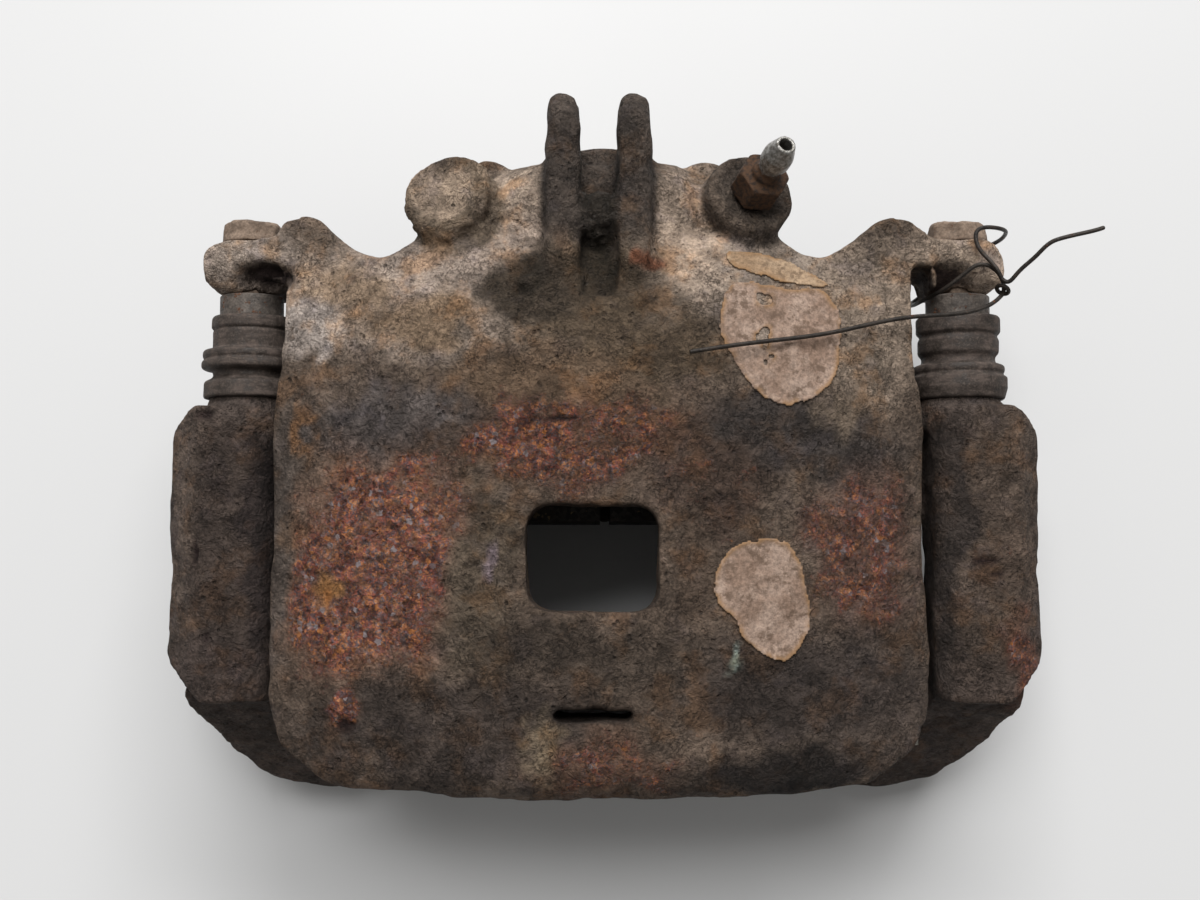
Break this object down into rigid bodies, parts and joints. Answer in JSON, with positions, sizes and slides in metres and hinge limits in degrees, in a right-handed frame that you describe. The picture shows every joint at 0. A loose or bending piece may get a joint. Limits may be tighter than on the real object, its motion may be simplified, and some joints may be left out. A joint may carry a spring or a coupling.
{
  "type": "brake caliper with carrier bracket",
  "caption": "Rusty single-piston floating brake caliper on its carrier bracket, with worn pads, guide pins in rubber boots, a bleed screw and a tie wire; no disc.",
  "frame": {"origin": "midway between the two knuckle bolt holes, on the mounting face of the carrier bracket's lugs", "axes": "+Y inboard, along the knuckle bolts and the slide; +Z radially outward from the wheel's axis; +X to the right seen from above with the fingers nearest"},
  "size_m": [0.2177, 0.1666, 0.0881],
  "materials": {
    "rusty_casting": "rusted",
    "bracket_casting": "rusted",
    "pin_steel": "dull",
    "bolt_steel": "rusted",
    "boot_rubber": "dusty",
    "seal_rubber": "satin",
    "piston_steel": "ground",
    "plate_steel": "worn",
    "friction_lining": "rough",
    "shim_steel": "dull",
    "clip_steel": "dull",
    "bleed_steel": "rusted hexagon, bare nipple",
    "wire_steel": "dark"
  },
  "bodies": {
    "carrier": {"carrier_inner_frame": "bracket_casting", "carrier_outer_frame": "bracket_casting", "carrier_column_left": "bracket_casting", "carrier_column_right": "bracket_casting", "pad_clip_inner_left": "clip_steel", "pad_clip_inner_right": "clip_steel", "pad_clip_outer_left": "clip_steel", "pad_clip_outer_right": "clip_steel", "pin_boot_left": "boot_rubber", "pin_boot_right": "boot_rubber"},
    "caliper": {"caliper_cylinder": "rusty_casting", "caliper_bridge": "rusty_casting", "caliper_fingers": "rusty_casting", "hose_fin_left": "rusty_casting", "hose_fin_right": "rusty_casting", "guide_pin_left": "pin_steel", "guide_pin_right": "pin_steel", "pin_bolt_left": "bolt_steel", "pin_bolt_right": "bolt_steel", "pin_sleeve_right": "seal_rubber", "piston_seal": "seal_rubber", "piston_dust_boot": "boot_rubber", "dust_boot_ring": "clip_steel", "outer_pad_plate": "plate_steel", "outer_pad_lining": "friction_lining", "outer_pad_shim": "shim_steel", "tie_wire": "wire_steel"},
    "piston": {"piston": "piston_steel", "inner_pad_plate": "plate_steel", "inner_pad_lining": "friction_lining", "inner_pad_shim": "shim_steel", "inner_pad_spring": "clip_steel", "pad_wear_indicator": "clip_steel"},
    "bleeder": {"bleed_screw": "bleed_steel"}
  },
  "joints": [
    {"name": "caliper_slide", "type": "slide", "parent": "carrier", "child": "caliper", "axis": [0, 1, 0], "range_m": [-0.003, 0.008], "deforming": ["pin_boot_left", "pin_boot_right"]},
    {"name": "piston_slide", "type": "slide", "parent": "caliper", "child": "piston", "axis": [0, -1, 0], "range_m": [0, 0.016], "deforming": ["piston_dust_boot"]},
    {"name": "bleeder_turn", "type": "hinge", "parent": "caliper", "child": "bleeder", "pos_m": [0.0343, 0.05, 0.0555], "axis": [0.27, 0.3, 0.9149], "range_deg": [0, 180]}
  ]
}
